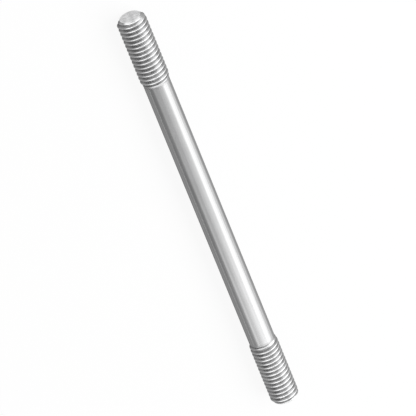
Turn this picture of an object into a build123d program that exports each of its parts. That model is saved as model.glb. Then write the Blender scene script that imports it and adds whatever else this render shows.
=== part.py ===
from build123d import *
import os
from math import atan2, cos, degrees, radians, sqrt, tan

os.makedirs("parts", exist_ok=True)

# Double-ended stud, M8 x 1.25 - 6g, right-hand at both ends, lying along X.
# It is one piece. A drawn blank of the thread's pitch diameter has a thread
# rolled into each end, so the crests stand proud of the shank and the roots
# lie below it. Each end is then faced and chamfered. Millimetres, with the
# origin on the axis at mid-length.

# ---- sizes -----------------------------------------------------------------
overall_length = 125.0     # end face to end face
thread_length = 20.0       # each end, end face to the foot of the run-out
runout_length = 1.25       # where crest and root fade into the shank
nominal_diameter = 8.0
thread_pitch = 1.25
major_allowance = 0.10     # crest diameter under nominal (6g: 0.028 to 0.240)
pitch_allowance = 0.058    # pitch diameter under basic (6g: 0.028 to 0.146)
end_chamfer = 1.15         # along the axis
chamfer_angle = 45.0       # from the axis
start_angle_right = 229.0  # where the groove crosses the +X end plane, from +Y towards +Z
start_angle_left = 99.0    # where the groove crosses the -X end plane, from +Y towards +Z
end_stock = 2.5            # blank beyond each end plane, faced off after threading
tool_clearance = 0.5       # facing tool beyond the crest
rim_reach = 0.21           # groove's rim beyond its pitch line, in pitches of width
level_shares = (0.125, 0.125, 0.25, 0.25, 0.25)  # the level groove is laid in these lengths

# ---- ISO 60 degree profile -------------------------------------------------
flank_angle = 30.0                      # each flank, from a plane square to the axis
vee_height = thread_pitch * sqrt(3) / 2  # of the sharp triangle
crest_radius = (nominal_diameter - major_allowance) / 2
pitch_radius = (nominal_diameter - 0.75 * vee_height - pitch_allowance) / 2
root_radius = pitch_radius - vee_height / 3
flank_slope = tan(radians(flank_angle))

shank_radius = pitch_radius             # thread rolling keeps the blank's volume
half_length = overall_length / 2
full_thread = thread_length - runout_length
chamfer_slope = tan(radians(chamfer_angle))


# ---- blank -----------------------------------------------------------------
def rolling_blank():
    """Shank and the two crest cylinders, turned about X, with end stock left on."""
    right = [
        (half_length - thread_length, shank_radius),
        (half_length - full_thread, crest_radius),
        (half_length + end_stock, crest_radius),
        (half_length + end_stock, 0),
    ]
    left = [(-x, r) for x, r in reversed(right)]
    with BuildPart() as blank:
        with BuildSketch(Plane.XY):
            with BuildLine():
                Polyline(*left, *right, close=True)
            make_face()
        revolve(axis=Axis.X)
    return blank.part


# ---- thread groove ---------------------------------------------------------
def half_width(radius):
    """Half the groove's axial width at a radius; a quarter pitch on the pitch line."""
    return thread_pitch / 4 + (radius - pitch_radius) * flank_slope


def thread_groove():
    """The vee between the crests of one end, as the solid to cut away.

    The end plane is at Z = 0 and the stud lies above it. The vee starts one
    turn outside the end plane, keeps full depth along the full thread, then
    climbs a cone until its root is clear of the shank.
    """
    # its rim stands clear of the crest and stops short of the next turn
    rim_radius = pitch_radius + rim_reach * thread_pitch / flank_slope
    corners = [
        (root_radius, half_width(root_radius)),
        (rim_radius, half_width(rim_radius)),
        (rim_radius, -half_width(rim_radius)),
        (root_radius, -half_width(root_radius)),
    ]
    stretches, start = [], -thread_pitch
    for share in level_shares:
        length = share * (thread_pitch + full_thread)
        level = [
            Helix(
                thread_pitch,
                length,
                radius,
                center=(0, 0, offset + start),
            ).rotate(Axis.Z, 360 * start / thread_pitch)
            for radius, offset in corners
        ]
        stretches.append(level)
        start += length
    climb_angle = degrees(atan2(1.15 * (shank_radius - root_radius), runout_length))
    climb = [
        Helix(
            thread_pitch / cos(radians(climb_angle)),
            runout_length,
            radius,
            center=(0, 0, offset + full_thread),
            cone_angle=climb_angle,
        ).rotate(Axis.Z, 360 * full_thread / thread_pitch)
        for radius, offset in corners
    ]
    stretches.append(climb)
    skins = [
        Face.make_surface_from_curves(one.edge(), other.edge())
        for lines in stretches
        for one, other in zip(lines, lines[1:] + lines[:1])
    ]
    first = Face(Wire.make_polygon([line @ 0 for line in stretches[0]], close=True))
    last = Face(Wire.make_polygon([line @ 1 for line in climb], close=True))
    return Solid(Shell(skins + [first, last]))


# ---- facing and chamfering tool --------------------------------------------
def end_tool():
    """All that is turned away at one end: the stock beyond Z = 0, and the chamfer."""
    over = crest_radius + tool_clearance * chamfer_slope
    with BuildPart() as tool:
        with BuildSketch(Plane.XZ):
            with BuildLine():
                Polyline(
                    (0, 0),
                    (crest_radius - end_chamfer * chamfer_slope, 0),
                    (over, end_chamfer + tool_clearance),
                    (over, -end_stock - tool_clearance),
                    (0, -end_stock - tool_clearance),
                    close=True,
                )
            make_face()
        revolve(axis=Axis.Z)
    return tool.part


# ---- stud ------------------------------------------------------------------
groove, facing = thread_groove(), end_tool()
right_end = Plane((half_length, 0, 0), x_dir=(0, 1, 0), z_dir=(-1, 0, 0))
left_end = Plane((-half_length, 0, 0), x_dir=(0, 1, 0), z_dir=(1, 0, 0))

stud = rolling_blank()
for end, start_angle in ((right_end, start_angle_right), (left_end, start_angle_left)):
    stud -= groove.moved(end.location).rotate(Axis.X, start_angle)
    stud -= facing.moved(end.location)

stud.label = "double_end_stud"
export_step(stud, "parts/double_end_stud.step")
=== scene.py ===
from functools import reduce
from math import cos, pi, radians, sin, tan

import bmesh
import bpy
import numpy as np
from mathutils import Matrix, Vector


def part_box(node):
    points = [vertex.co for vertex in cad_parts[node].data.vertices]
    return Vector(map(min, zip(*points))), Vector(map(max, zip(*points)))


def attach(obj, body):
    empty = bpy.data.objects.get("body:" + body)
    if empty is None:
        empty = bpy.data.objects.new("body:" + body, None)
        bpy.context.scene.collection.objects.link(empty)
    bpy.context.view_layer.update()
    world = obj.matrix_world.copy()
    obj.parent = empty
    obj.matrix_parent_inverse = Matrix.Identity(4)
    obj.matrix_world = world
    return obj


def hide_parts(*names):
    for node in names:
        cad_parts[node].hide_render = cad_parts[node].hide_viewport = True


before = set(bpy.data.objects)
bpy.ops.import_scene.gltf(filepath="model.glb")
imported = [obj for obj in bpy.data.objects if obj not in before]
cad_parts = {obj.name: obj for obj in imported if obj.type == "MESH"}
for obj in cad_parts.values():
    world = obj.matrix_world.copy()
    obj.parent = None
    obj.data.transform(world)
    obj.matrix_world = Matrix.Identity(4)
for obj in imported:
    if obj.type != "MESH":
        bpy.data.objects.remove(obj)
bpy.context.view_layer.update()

# ---- sizes, in metres ------------------------------------------------------
MM = 0.001
low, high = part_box("double_end_stud")
HALF = high[0]                      # end face, from the middle
CREST = min(high[1], high[2]) - 0.001 * MM    # crest radius, just inside the solid's box
FLOOR = low[2]

PITCH = 1.25 * MM
SHANK = 3.5651 * MM                 # shank radius, the thread's pitch radius
ROOT = 3.2042 * MM                  # root radius
FLANK = radians(30)                 # each flank, off the plane square to the axis
THREAD = 20.0 * MM                  # each end, to the foot of the run-out
RUNOUT = 1.25 * MM
CHAMFER = 1.15 * MM
START_RIGHT = 229.0                 # groove's centre in each end plane, degrees from +Y towards +Z
START_LEFT = 99.0

ROUND = 0.10 * MM                   # rounding of crests and roots
CHAMFER_ROUND = 0.05 * MM           # rounding where the chamfer meets the thread
CLIMB_START = THREAD - 0.2 * MM     # where the groove starts to climb out of the metal
CLIMB_LENGTH = 0.3 * MM
CLIMB_HEIGHT = 1.1 * (SHANK - ROOT)

# ---- mesh density ----------------------------------------------------------
AROUND = 144                        # quads round the stud
ROWS = 18                           # rows of quads across one turn of thread
FIRST_TURN, LAST_TURN = -2, 20      # turns of rows laid at each end
CROWDING = 0.55                     # how far the rows crowd towards roots and crests
THREAD_END = THREAD + 0.5 * PITCH   # where the thread's rows give way to plain rings
SHANK_RINGS = 12
FACE_RINGS = (0.985, 0.96, 0.88, 0.74, 0.56, 0.36, 0.16)    # shares of the end face's radius
WELD = 2e-7                         # vertices closer than this are one

DRAWN, ROLLED, TURNED, FACED = range(4)       # the stud's materials, in the order of its slots
TURNED_DEPTH = 0.02 * MM            # a face less deep than this under the chamfer's cone is TURNED
SHALLOW = 0.06 * MM                 # a groove this deep gets the full painted shade at its bottom, even in the chamfer


# ---- shape -----------------------------------------------------------------
def smooth_min(a, b, k):
    h = np.clip(0.5 + 0.5 * (b - a) / k, 0, 1)
    return b * (1 - h) + a * h - k * h * (1 - h)


def cone_radius(inward):
    """Radius of the chamfer's cone at a distance in from the end face."""
    return CREST - CHAMFER + inward


def thread_radius(inward, turns):
    """Radius at a distance in from an end face; turns is whole at a groove's centre."""
    fade = np.clip((inward - (THREAD - RUNOUT)) / RUNOUT, 0, 1)
    blank = CREST + (SHANK - CREST) * fade
    climb = CLIMB_HEIGHT * np.clip((inward - CLIMB_START) / CLIMB_LENGTH, 0, 2)
    off = np.abs(turns - np.round(turns)) * PITCH
    flank = SHANK + climb + (off - PITCH / 4) / tan(FLANK)
    groove = -smooth_min(-flank, -(ROOT + climb), ROUND)
    threaded = smooth_min(groove, blank, ROUND)
    return np.minimum(smooth_min(threaded, cone_radius(inward), CHAMFER_ROUND), CREST)


def row_phases():
    """Phases, in turns, of the rows that follow the helix, closest at root and crest."""
    k = np.arange(ROWS) / ROWS
    k = k - CROWDING / (4 * pi) * np.sin(4 * pi * k)
    return (np.arange(FIRST_TURN, LAST_TURN)[:, None] + k[None, :]).ravel()


class Builder:
    """Collects vertices, faces, each face's material and three marks at each vertex.

    On the thread, the marks are the height above the groove's bottom (0 to 1) and the cosine
    and sine of the place within the turn.
    """

    def __init__(self):
        self.verts, self.faces, self.kinds, self.marks = [], [], [], []
        self.count = 0

    def ring(self, x, r, mark):
        angle = np.arange(AROUND) * 2 * pi / AROUND
        x, r = np.broadcast_to(x, (AROUND,)), np.broadcast_to(r, (AROUND,))
        self.verts.append(np.stack([x, r * np.cos(angle), r * np.sin(angle)], -1))
        self.marks.append(np.broadcast_to(mark, (AROUND, 3)))
        self.count += AROUND
        return list(range(self.count - AROUND, self.count))

    def point(self, x):
        """A vertex on the axis."""
        self.verts.append(np.array([[x, 0, 0]]))
        self.marks.append(np.zeros((1, 3)))
        self.count += 1
        return self.count - 1

    def face(self, corners, kind, flip=False):
        self.faces.append(corners[::-1] if flip else corners)
        self.kinds.append(kind)

    def band(self, a, b, kind, flip=False):
        """Quads between two rings."""
        for j in range(AROUND):
            k = (j + 1) % AROUND
            self.face((a[j], b[j], b[k], a[k]), kind, flip)

    def thread(self, end, start):
        """The thread at one end, 1 or -1, with its chamfer and run-out.

        Gives back the radii of the end face's rim.
        """
        lead = (np.arange(AROUND) / AROUND - start / 360) % 1.0
        phase = row_phases()
        inward = PITCH * (phase[:, None] - end * lead[None, :])
        held = np.clip(inward, 0, THREAD_END)
        turns = -end * held / PITCH - lead[None, :]
        radius = thread_radius(held, turns)
        rings = []
        for i in range(len(phase)):
            swing = 2 * pi * turns[i]
            outer = np.minimum(CREST, cone_radius(held[i]))
            # height above the groove's bottom, 0 to 1: the rolled steel paints shade into the
            # roots by it
            depth = np.maximum(outer - ROOT, SHALLOW)
            height = np.clip(1 - (outer - radius[i]) / depth, 0, 1)
            marks = np.stack([height, np.cos(swing), np.sin(swing)], -1)
            rings.append(self.ring(end * (HALF - held[i]), radius[i], marks))
        for j in range(AROUND):
            k = (j + 1) % AROUND
            # where the lead starts again, a row goes on as the one a whole turn away
            step = ROWS * round(float(lead[k] - lead[j] - 1 / AROUND)) * end
            for i in range(len(phase) - 1):
                m = i + step
                if m < 0 or m + 1 >= len(phase):
                    continue
                if held[i, j] == held[i + 1, j] and held[m, k] == held[m + 1, k]:
                    continue        # off the end of the thread
                middle = 0.25 * (held[i, j] + held[i + 1, j] + held[m, k] + held[m + 1, k])
                turned = radius[i, j] > cone_radius(middle) - TURNED_DEPTH
                corners = (rings[i][j], rings[i + 1][j], rings[m + 1][k], rings[m][k])
                self.face(corners, TURNED if turned else ROLLED, end < 0)
        return thread_radius(0.0, -lead)

    def end_face(self, end, rim):
        """The flat end face, from its rim to the axis."""
        outer = self.ring(end * HALF, rim, (0, 0, 0))
        for share in FACE_RINGS:
            inner = self.ring(end * HALF, rim * share, (share, 0, 0))
            self.band(outer, inner, FACED, end > 0)
            outer = inner
        centre = self.point(end * HALF)
        for j in range(AROUND):
            self.face((outer[j], centre, outer[(j + 1) % AROUND]), FACED, end > 0)

    def shank(self):
        """Plain rings between the two threads."""
        reach = HALF - THREAD_END
        rings = [self.ring(x, SHANK, (1, 0, 0)) for x in np.linspace(-reach, reach, SHANK_RINGS)]
        for a, b in zip(rings, rings[1:]):
            self.band(a, b, DRAWN)


out = Builder()
for end, start in ((1, START_RIGHT), (-1, START_LEFT)):
    out.end_face(end, out.thread(end, start))
out.shank()

mesh = bpy.data.meshes.new("stud")
mesh.from_pydata(np.concatenate(out.verts).tolist(), [], out.faces)
mesh.polygons.foreach_set("material_index", out.kinds)
mesh.polygons.foreach_set("use_smooth", [True] * len(mesh.polygons))
profile = mesh.attributes.new("profile", "FLOAT_VECTOR", "POINT")
profile.data.foreach_set("vector", np.concatenate(out.marks).astype(np.float32).ravel())
bm = bmesh.new()
bm.from_mesh(mesh)
bmesh.ops.remove_doubles(bm, verts=bm.verts, dist=WELD)
bmesh.ops.recalc_face_normals(bm, faces=bm.faces)
for edge in bm.edges:                                   # the end face's rim is a crisp edge
    on_end_face = [f.material_index == FACED for f in edge.link_faces]
    if len(on_end_face) == 2 and on_end_face[0] != on_end_face[1]:
        edge.smooth = False
bm.to_mesh(mesh)
bm.free()
stud = bpy.data.objects.new("stud", mesh)
bpy.context.collection.objects.link(stud)
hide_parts("double_end_stud")
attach(stud, "root")


# ---- node trees ------------------------------------------------------------
NOISE_LOW, NOISE_HIGH = 0.3, 0.7    # where most of a noise texture's values lie
STEEL_TINT = (0.997, 1.0, 1.004)    # a trace of blue


class Nodes:
    """Short hand for a node tree: sockets go in by name, as numbers or as links.

    A socket's name has _ for a space; i0, i1, ... stand for sockets by number.
    """

    def __init__(self, owner):
        owner.use_nodes = True
        self.tree = owner.node_tree
        self.tree.nodes.clear()

    def put(self, kind, props=None, **sockets):
        node = self.tree.nodes.new(kind)
        for key, value in (props or {}).items():
            setattr(node, key, value)
        for key, value in sockets.items():
            numbered = key[0] == "i" and key[1:].isdigit()
            socket = node.inputs[int(key[1:]) if numbered else key.replace("_", " ")]
            if isinstance(value, bpy.types.NodeSocket):
                self.tree.links.new(value, socket)
            else:
                socket.default_value = value
        return node

    # -- numbers
    def math(self, op, a, b=0.0, clamp=False):
        props = {"operation": op, "use_clamp": clamp}
        return self.put("ShaderNodeMath", props, i0=a, i1=b).outputs[0]

    def times(self, a, b):
        return self.math("MULTIPLY", a, b)

    def total(self, *parts):
        return reduce(lambda a, b: self.math("ADD", a, b), parts)

    def band(self, value, a, b, c, d):
        """value from a..b to c..d, held within c..d"""
        props = {"clamp": True}
        return self.put("ShaderNodeMapRange", props, i0=value, i1=a, i2=b, i3=c, i4=d).outputs[0]

    def spread(self, noise, c, d):
        """A noise texture's usual values to c..d"""
        return self.band(noise, NOISE_LOW, NOISE_HIGH, c, d)

    # -- places and textures
    def place(self):
        return self.put("ShaderNodeTexCoord").outputs["Object"]

    def split(self, vector):
        return self.put("ShaderNodeSeparateXYZ", Vector=vector).outputs

    def scaled(self, vector, scale):
        return self.put("ShaderNodeMapping", Vector=vector, Scale=scale).outputs[0]

    def noise(self, vector, scale=1.0, detail=2.0, rough=0.5, w=None):
        props = {"noise_dimensions": "3D" if w is None else "4D"}
        node = self.put("ShaderNodeTexNoise", props, Vector=vector, Scale=scale, Detail=detail,
                        Roughness=rough)
        if w is not None:
            self.tree.links.new(w, node.inputs["W"])
        return node.outputs["Fac"]

    # -- light
    def white_rays(self):
        """1 for rays that meet the white background: camera, glossy and transmission."""
        path = self.put("ShaderNodeLightPath").outputs
        seen = self.math("MAXIMUM", path["Is Camera Ray"], path["Is Glossy Ray"])
        return self.math("MAXIMUM", seen, path["Is Transmission Ray"])

    # -- shaders
    def metal(self, tone, roughness, relief, strength, distance):
        """Steel of a grey tone, with a height map's relief as bump."""
        bump = self.put("ShaderNodeBump", Strength=strength, Distance=distance, Height=relief)
        grey = self.put("ShaderNodeCombineColor", i0=tone, i1=tone, i2=tone).outputs[0]
        props = {"operation": "MULTIPLY"}
        colour = self.put("ShaderNodeVectorMath", props, i0=grey, i1=STEEL_TINT).outputs[0]
        shader = self.put("ShaderNodeBsdfPrincipled", Metallic=1.0, Base_Color=colour,
                          Roughness=roughness, Normal=bump.outputs[0])
        self.put("ShaderNodeOutputMaterial", Surface=shader.outputs[0])


def material(name):
    made = bpy.data.materials.new(name)
    return made, Nodes(made)


# ---- the stud's four metals ------------------------------------------------
# Scales of noise are in cycles per metre. Where there are three, they are along x, y and z.
FINE_BUMP = 0.02 * MM
FACE_BUMP = 0.06 * MM


def drawn_steel():
    """Bright drawn bar: faint streaks along the axis, a few specks, slow clouding."""
    made, n = material("bright_steel_drawn")
    place = n.place()
    streaks = n.noise(n.scaled(place, (14, 2600, 2600)), detail=3.0, rough=0.6)
    fine = n.noise(n.scaled(place, (60, 9000, 9000)), rough=0.6)
    wide = n.noise(n.scaled(place, (5, 700, 700)))
    cloud = n.noise(n.scaled(place, (120, 260, 260)))
    specks = n.band(n.noise(n.scaled(place, (900, 2600, 2600)), detail=1.0), 0.69, 0.78, 0.0, 1.0)
    tone = n.total(
        n.spread(streaks, -0.035, 0.03), n.spread(wide, -0.03, 0.03),
        n.spread(cloud, -0.014, 0.014), n.spread(fine, -0.012, 0.012),
        n.times(specks, -0.07), 0.64)
    rough = n.total(n.spread(streaks, 0.13, 0.21), n.spread(cloud, -0.012, 0.02))
    relief = n.total(streaks, n.times(fine, 0.5))
    n.metal(tone, rough, relief, 0.12, FINE_BUMP)
    return made


def rolled_steel():
    """Rolled thread: a broken dark seam on the crests, which also carry a painted highlight;
    duller roots, darkened with painted shade.
    """
    made, n = material("bright_steel_rolled")
    place = n.place()
    profile = n.put("ShaderNodeAttribute", {"attribute_name": "profile"}).outputs["Vector"]
    height, turn_cos, turn_sin = n.split(profile)
    x, y, z = n.split(place)
    flow = n.put("ShaderNodeCombineXYZ", X=n.times(turn_cos, 2.2), Y=n.times(turn_sin, 2.2),
                 Z=n.times(x, 160.0)).outputs[0]        # follows the helix
    lines = n.noise(flow, 3.0, 3.0, 0.6, w=n.times(n.total(y, z), 120.0))
    patch = n.noise(place, 520.0)
    grain = n.noise(place, 3800.0, rough=0.6)
    # root: 1 at the groove's bottom; it drives the painted shade in the roots and their real extra
    # roughness
    root = n.math("SUBTRACT", 1.0, height, clamp=True)
    # crest: top tenth of the thread, lightened by 0.03 as a painted highlight; also the mask of
    # the seam
    crest = n.band(height, 0.9, 1.0, 0.0, 1.0)
    seam = n.times(crest, n.band(n.noise(place, 1500.0, rough=0.6), 0.52, 0.66, 0.0, 1.0))
    tone = n.total(
        # painted shade: up to 0.56 darker towards the groove's bottom
        n.math("SUBTRACT", 0.87, n.times(root, 0.56)),
        n.spread(lines, -0.03, 0.03), n.band(patch, 0.35, 0.65, -0.06, 0.05),
        n.spread(grain, -0.02, 0.02), n.times(crest, 0.03), n.times(seam, -0.06))
    rough = n.total(n.times(root, 0.14), n.spread(patch, 0.18, 0.24))
    relief = n.total(lines, n.times(patch, 0.6))
    n.metal(tone, rough, relief, 0.1, FINE_BUMP)
    return made


def turned_steel():
    """The chamfer: fine tool lines round the axis."""
    made, n = material("bright_steel_turned")
    place = n.place()
    lines = n.noise(n.scaled(place, (16000, 300, 300)), rough=0.6)
    patch = n.noise(place, 700.0)
    tone = n.total(n.spread(lines, 0.72, 0.82), n.spread(patch, -0.05, 0.05))
    n.metal(tone, n.spread(lines, 0.26, 0.36), lines, 0.2, FINE_BUMP)
    return made


def faced_steel():
    """The end face: cropped and faced, mottled, with faint tool arcs and a lighter, smoother ring
    at the rim.
    """
    made, n = material("bright_steel_faced")
    place = n.place()
    _, y, z = n.split(place)
    radius = n.math("SQRT", n.total(n.times(y, y), n.times(z, z)))
    mottle = n.noise(place, 900.0, 3.0, 0.6)
    grit = n.noise(place, 4200.0, rough=0.6)
    wobble = n.total(radius, n.times(mottle, 0.3 * MM))
    arcs = n.math("SINE", n.times(wobble, 14000.0))
    pits = n.band(n.noise(place, 1500.0, detail=1.0), 0.66, 0.76, 0.0, 1.0)
    rim = n.band(radius, 2.55 * MM, 2.78 * MM, 0.0, 1.0)
    tone = n.total(
        0.60, n.band(mottle, 0.38, 0.62, -0.10, 0.08),
        n.times(arcs, 0.03), n.times(rim, 0.10), n.times(pits, -0.12))
    rough = n.total(n.spread(mottle, 0.26, 0.36), n.times(rim, -0.06))
    relief = n.total(mottle, n.times(grit, 0.4), n.times(arcs, 0.08), n.times(pits, -0.5))
    n.metal(tone, rough, relief, 0.35, FACE_BUMP)
    return made


for make in (drawn_steel, rolled_steel, turned_steel, faced_steel):     # as DRAWN ... FACED
    mesh.materials.append(make())


# ---- helpers for the stage -------------------------------------------------
def link_object(name, data):
    made = bpy.data.objects.new(name, data)
    bpy.context.collection.objects.link(made)
    return made


def axes(right, up, back, place):
    """The matrix of an object with these axes, at a place."""
    return Matrix((
        (right.x, up.x, back.x, place.x),
        (right.y, up.y, back.y, place.y),
        (right.z, up.z, back.z, place.z),
        (0, 0, 0, 1),
    ))


# ---- floor: white to the camera and to reflections, keeps a soft shadow -----
FLOOR_HALF = 3.0
FLOOR_GREY = (0.92, 0.92, 0.92, 1)
FLOOR_GLOW = 0.9                    # share of plain white in what those rays see

floor_mesh = bpy.data.meshes.new("floor")
floor_mesh.from_pydata(
    [(FLOOR_HALF * x, FLOOR_HALF * y, FLOOR) for x, y in ((-1, -1), (1, -1), (1, 1), (-1, 1))],
    [], [(0, 1, 2, 3)])
floor = link_object("floor", floor_mesh)
floor_white, n = material("floor_white")
mix = n.put(
    "ShaderNodeMixShader", i0=n.times(n.white_rays(), FLOOR_GLOW),
    i1=n.put("ShaderNodeBsdfDiffuse", Color=FLOOR_GREY).outputs[0],
    i2=n.put("ShaderNodeEmission", Strength=1.0).outputs[0],
)
n.put("ShaderNodeOutputMaterial", Surface=mix.outputs[0])
floor_mesh.materials.append(floor_white)

# ---- world and lamp --------------------------------------------------------
WORLD_LIGHT, WORLD_SEEN = 0.56, 1.0           # strength as light, and as background
LAMP_SIZE = (0.5, 1.2)
LAMP_WATTS = 6.2
LAMP_FROM = Vector((-0.1, -0.55, 0.6)).normalized()
LAMP_RANGE = 0.8

world = bpy.data.worlds.new("studio")
bpy.context.scene.world = world
n = Nodes(world)
strength = n.put("ShaderNodeMix", {"data_type": "FLOAT"}, Factor=n.white_rays(),
                 A=WORLD_LIGHT, B=WORLD_SEEN).outputs["Result"]
sky = n.put("ShaderNodeBackground", Color=(1, 1, 1, 1), Strength=strength)
n.put("ShaderNodeOutputWorld", Surface=sky.outputs[0])

lamp = bpy.data.lights.new("softbox", "AREA")
lamp.shape = "RECTANGLE"
lamp.size, lamp.size_y = LAMP_SIZE
lamp.energy = LAMP_WATTS
softbox = link_object("softbox", lamp)
right = Vector((1, 0, 0)).cross(LAMP_FROM).normalized()
softbox.matrix_world = axes(right, LAMP_FROM.cross(right), LAMP_FROM, LAMP_FROM * LAMP_RANGE)
softbox.visible_glossy = False


# ---- light tent, seen only by reflections -----------------------------------
def tent_piece(name, points, tones, rows, across):
    """A grid of points with a tone at each, glowing for reflections alone."""
    sheet = bpy.data.meshes.new(name)
    sheet.from_pydata(points, [], [
        (i * across + j, i * across + j + 1, (i + 1) * across + j + 1, (i + 1) * across + j)
        for i in range(rows - 1) for j in range(across - 1)])
    tone = sheet.color_attributes.new("tone", "FLOAT_COLOR", "POINT")
    tone.data.foreach_set("color", np.repeat(np.asarray(tones, np.float32), 4))
    glow, n = material(name)
    colour = n.put("ShaderNodeAttribute", {"attribute_name": "tone"}).outputs["Color"]
    n.put("ShaderNodeOutputMaterial",
          Surface=n.put("ShaderNodeEmission", Color=colour).outputs[0])
    sheet.materials.append(glow)
    obj = link_object(name, sheet)
    obj.visible_camera = obj.visible_diffuse = obj.visible_shadow = False
    obj.visible_transmission = obj.visible_volume_scatter = False


# Soft lights on the tent: angle along the stud, angle round it (right of the camera positive),
# spread of each in degrees, strength. The cloth itself is a dim grey.
TENT_RADIUS = 0.6
TENT_STEP = 2.5                     # degrees
CLOTH = 0.23
LIGHTS = (
    (-85, -90, 16, 8, 1.30), (-85, -90, 16, 12, 1.30), (-85, -82, 10, 35, 1.30),
    (-85, -82, 16, 8, 1.30), (-85, -66, 10, 35, 1.30), (-85, -50, 16, 8, 1.30),
    (-70, -90, 10, 8, 1.30), (-70, -90, 10, 12, 1.30), (-70, -82, 10, 12, 1.30),
    (-70, -50, 10, 35, 1.30), (-70, -42, 10, 12, 1.30), (-70, -42, 10, 35, 1.30),
    (-70, -26, 10, 12, 1.30), (-70, -26, 10, 20, 1.30), (-58, -42, 16, 8, 1.30),
    (-45, 20, 10, 35, 2.00), (0, 54, 28, 12, 2.00), (0, 80, 28, 8, 1.64),
    (20, 90, 10, 35, 2.00), (30, -26, 10, 12, 2.00), (30, 30, 16, 35, 1.79),
    (42, -42, 10, 35, 2.00),
)
POLE_SHARE = 0.5                    # of each light at the tent's two poles, on the stud's axis
SEAMS_ROUND = (-90, -82, -74, -66, -56, -44, -30, -15, 0, 15, 30, 44, 56, 66, 74, 82, 90)
SEAMS_ALONG = (-90, -65, -45, -30, -12, 8, 28, 48, 68, 90)
CEILING = (40, 58, 90), (2.4, 1.05, 0.6)      # brightest tone by angle: the far ends stay soft


def falloff(angle, middle, spread):
    return np.exp(-0.5 * ((angle - middle) / spread) ** 2)


seam_tones = np.full((len(SEAMS_ALONG), len(SEAMS_ROUND)), CLOTH)
for along_at, round_at, along_spread, round_spread, power in LIGHTS:
    for i, b in enumerate(SEAMS_ALONG):
        for j, q in enumerate(SEAMS_ROUND):
            share = POLE_SHARE if abs(b) == 90 else falloff(q, round_at, round_spread)
            seam_tones[i, j] += power * falloff(b, along_at, along_spread) * share
steps = np.arange(-90, 90.1, TENT_STEP)
tent = np.array([np.interp(steps, SEAMS_ROUND, row) for row in seam_tones])
tent = np.array([np.interp(steps, SEAMS_ALONG, column) for column in tent.T]).T
tent = np.minimum(tent, np.interp(np.abs(steps), *CEILING)[:, None])
points = [
    (TENT_RADIUS * sin(b), -TENT_RADIUS * cos(b) * sin(q),
     max(TENT_RADIUS * cos(b) * cos(q), 0) + FLOOR)
    for b in np.radians(steps) for q in np.radians(steps)]
tent_piece("tent", points, tent.ravel(), len(steps), len(steps))

# Its floor sheets, from just beside the stud out to the wall: distance in mm and tone. They glow
# for reflections alone; their dim tones nearest the stud are a painted reflection of shade on the
# floor beside it.
SHEET_LIFT = 0.1 * MM
SHEET_ROWS = (4, 4.75, 5.5, 6.7, 8, 10.5, 13, 20, 30, 100, 600)
SHEET_LEFT = (4, 0.20), (5.5, 0.20), (8, 0.35), (13, 0.36), (30, 0.30), (600, 1.00)
SHEET_RIGHT = (4, 0.15), (5.5, 0.36), (8, 0.42), (13, 0.48), (30, 1.00), (600, 0.47)
for name, sign, sheet in (
    ("tent_floor_left", 1, SHEET_LEFT),
    ("tent_floor_right", -1, SHEET_RIGHT),
):
    distances, tones = zip(*sheet)
    row_tones = np.interp(np.log(SHEET_ROWS), np.log(distances), tones)
    points = [
        (x, sign * d * MM, FLOOR + SHEET_LIFT)
        for d in SHEET_ROWS for x in (-TENT_RADIUS, TENT_RADIUS)]
    tent_piece(name, points, np.repeat(row_tones, 2), len(SHEET_ROWS), 2)

# ---- camera ----------------------------------------------------------------
FRAME_PX = 416                      # the photograph's width and height
FRAME_MIDDLE = FRAME_PX / 2
TILT = radians(30.5)                # stud's axis out of the picture plane
LEAN = radians(22.28)               # its axis in the picture, from upright
PX_PER_MM = 3.298                   # along the axis, at the target
SHRINK_PER_MM = 0.000426            # share by which the picture's scale falls along the axis
RANGE = sin(TILT) / SHRINK_PER_MM * MM
FOCAL_PX = PX_PER_MM / MM * RANGE / cos(TILT)
SENSOR = 36.0                       # mm
TARGET = Vector((2.31 * MM, 0, 0))
TARGET_PX = (206.95, 205.20)        # where the target is in the picture

back = Vector((sin(TILT), 0, cos(TILT)))
along = Vector((cos(TILT), 0, -sin(TILT)))
side = Vector((0, -1, 0))
right = side * cos(LEAN) - along * sin(LEAN)
up = side * sin(LEAN) + along * cos(LEAN)
lens = bpy.data.cameras.new("camera")
lens.sensor_width = SENSOR
lens.lens = FOCAL_PX * SENSOR / FRAME_PX
lens.clip_start, lens.clip_end = 0.01, 20
camera = link_object("camera", lens)
camera.matrix_world = axes(right, up, back, (
    TARGET + back * RANGE
    - right * ((TARGET_PX[0] - FRAME_MIDDLE) / FOCAL_PX * RANGE)
    + up * ((TARGET_PX[1] - FRAME_MIDDLE) / FOCAL_PX * RANGE)
))
bpy.context.scene.camera = camera
bpy.context.scene.view_settings.view_transform = "Standard"
